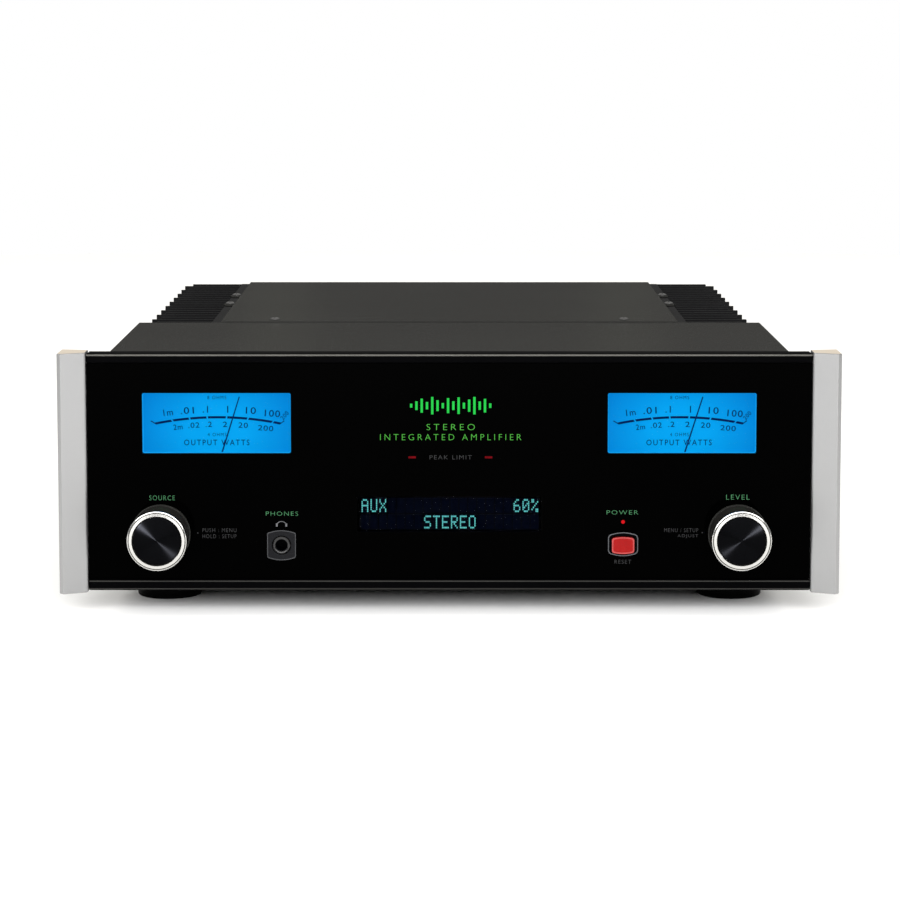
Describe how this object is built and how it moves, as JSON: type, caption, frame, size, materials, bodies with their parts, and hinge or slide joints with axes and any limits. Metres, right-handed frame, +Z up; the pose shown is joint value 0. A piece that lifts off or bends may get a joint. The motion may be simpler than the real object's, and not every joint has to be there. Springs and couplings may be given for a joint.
{
  "type": "integrated amplifier",
  "caption": "Full-width hi-fi integrated amplifier: black glass front with twin blue meters, display, knobs and silver end caps, wide cover and finned side heatsinks.",
  "frame": {"origin": "centre of the bounding box's footprint, on the surface that the feet stand on", "axes": "+Z up, -Y towards the listener, so the glass front faces -Y, and +X to the right as the front is faced"},
  "size_m": [0.4444, 0.508, 0.1531],
  "materials": {
    "plated_steel": "zinc plated",
    "painted_steel": "fine satin paint",
    "black_anodised": "black anodised",
    "satin_silver": "fine satin, bevelled edges",
    "black_glass": "black gloss, painted behind",
    "dial_blue": "lit from behind",
    "display_glass": "dark display glass",
    "dark_grey_plastic": "satin",
    "black_plastic": "satin",
    "lamp_red": "clear red lens",
    "copper_winding": "copper wire wound on a steel core",
    "capacitor_can": "sleeved can",
    "circuit_board": "solder resist",
    "knob_black": "black anodised, turned face",
    "bright_ring": "polished",
    "red_plastic": "satin red",
    "navy_paint": "painted",
    "screw_black": "black oxide",
    "foot_plastic": "moulded"
  },
  "bodies": {
    "chassis": {"chassis_pan": "plated_steel", "front_subpanel": "plated_steel", "rear_panel": "painted_steel", "front_cover": "painted_steel", "rear_cover": "painted_steel", "cover_screw_1": "screw_black", "cover_screw_2": "screw_black", "cover_screw_3": "screw_black", "cover_screw_4": "screw_black", "cover_screw_5": "screw_black", "cover_screw_6": "screw_black", "heatsink_left": "black_anodised", "heatsink_right": "black_anodised", "end_cap_left": "satin_silver", "end_cap_right": "satin_silver", "top_rail": "black_anodised", "bottom_rail": "black_anodised", "glass_panel": "black_glass", "meter_housing_left": "dial_blue", "meter_housing_right": "dial_blue", "display_module": "display_glass", "phones_bezel": "dark_grey_plastic", "phones_socket": "black_plastic", "power_bezel": "dark_grey_plastic", "power_switch": "black_plastic", "power_lamp": "lamp_red", "source_encoder": "dark_grey_plastic", "level_encoder": "dark_grey_plastic", "foot_front_left": "foot_plastic", "foot_front_right": "foot_plastic", "foot_rear_left": "foot_plastic", "foot_rear_right": "foot_plastic", "toroidal_transformer": "copper_winding", "transformer_clamp": "plated_steel", "reservoir_capacitor_1": "capacitor_can", "reservoir_capacitor_2": "capacitor_can", "power_supply_board": "circuit_board", "amplifier_board_left": "circuit_board", "amplifier_board_right": "circuit_board", "output_transistors_left": "black_plastic", "output_transistors_right": "black_plastic", "main_board": "circuit_board", "mains_inlet": "black_plastic", "speaker_terminal_base": "black_plastic", "audio_socket_block": "black_plastic", "digital_socket_block": "black_plastic"},
    "source_push": {"source_push_plunger": "plated_steel"},
    "source_dial": {"source_knob": "knob_black", "source_knob_ring": "bright_ring", "source_shaft": "plated_steel"},
    "level_dial": {"level_knob": "knob_black", "level_knob_ring": "bright_ring", "level_shaft": "plated_steel"},
    "power_key": {"power_button": "red_plastic"},
    "needle_left": {"meter_needle_left": "navy_paint"},
    "needle_right": {"meter_needle_right": "navy_paint"},
    "speaker_post_1": {"speaker_cap_1": "dark_grey_plastic"},
    "speaker_post_2": {"speaker_cap_2": "dark_grey_plastic"},
    "speaker_post_3": {"speaker_cap_3": "dark_grey_plastic"},
    "speaker_post_4": {"speaker_cap_4": "dark_grey_plastic"}
  },
  "joints": [
    {"name": "source_push_travel", "type": "slide", "parent": "chassis", "child": "source_push", "axis": [0, 1, 0], "range_m": [0, 0.0006], "stiffness_N_per_m": 2500},
    {"name": "source_turn", "type": "hinge", "parent": "source_push", "child": "source_dial", "pos_m": [-0.1648, -0.238, 0.0481], "axis": [0, -1, 0], "continuous": true},
    {"name": "level_turn", "type": "hinge", "parent": "chassis", "child": "level_dial", "pos_m": [0.1648, -0.238, 0.0481], "axis": [0, -1, 0], "continuous": true},
    {"name": "power_press", "type": "slide", "parent": "chassis", "child": "power_key", "axis": [0, 1, 0], "range_m": [0, 0.0018], "stiffness_N_per_m": 900},
    {"name": "needle_left_swing", "type": "hinge", "parent": "chassis", "child": "needle_left", "pos_m": [-0.1326, -0.2188, 0.086], "axis": [0, 1, 0], "range_deg": [-68, 34]},
    {"name": "needle_right_swing", "type": "hinge", "parent": "chassis", "child": "needle_right", "pos_m": [0.1326, -0.2188, 0.086], "axis": [0, 1, 0], "range_deg": [-68, 34]},
    {"name": "speaker_cap_1_turn", "type": "hinge", "parent": "chassis", "child": "speaker_post_1", "pos_m": [-0.118, 0.242, 0.108], "axis": [0, 1, 0], "range_deg": [0, 720]},
    {"name": "speaker_cap_2_turn", "type": "hinge", "parent": "chassis", "child": "speaker_post_2", "pos_m": [-0.09, 0.242, 0.108], "axis": [0, 1, 0], "range_deg": [0, 720]},
    {"name": "speaker_cap_3_turn", "type": "hinge", "parent": "chassis", "child": "speaker_post_3", "pos_m": [-0.062, 0.242, 0.108], "axis": [0, 1, 0], "range_deg": [0, 720]},
    {"name": "speaker_cap_4_turn", "type": "hinge", "parent": "chassis", "child": "speaker_post_4", "pos_m": [-0.034, 0.242, 0.108], "axis": [0, 1, 0], "range_deg": [0, 720]}
  ]
}
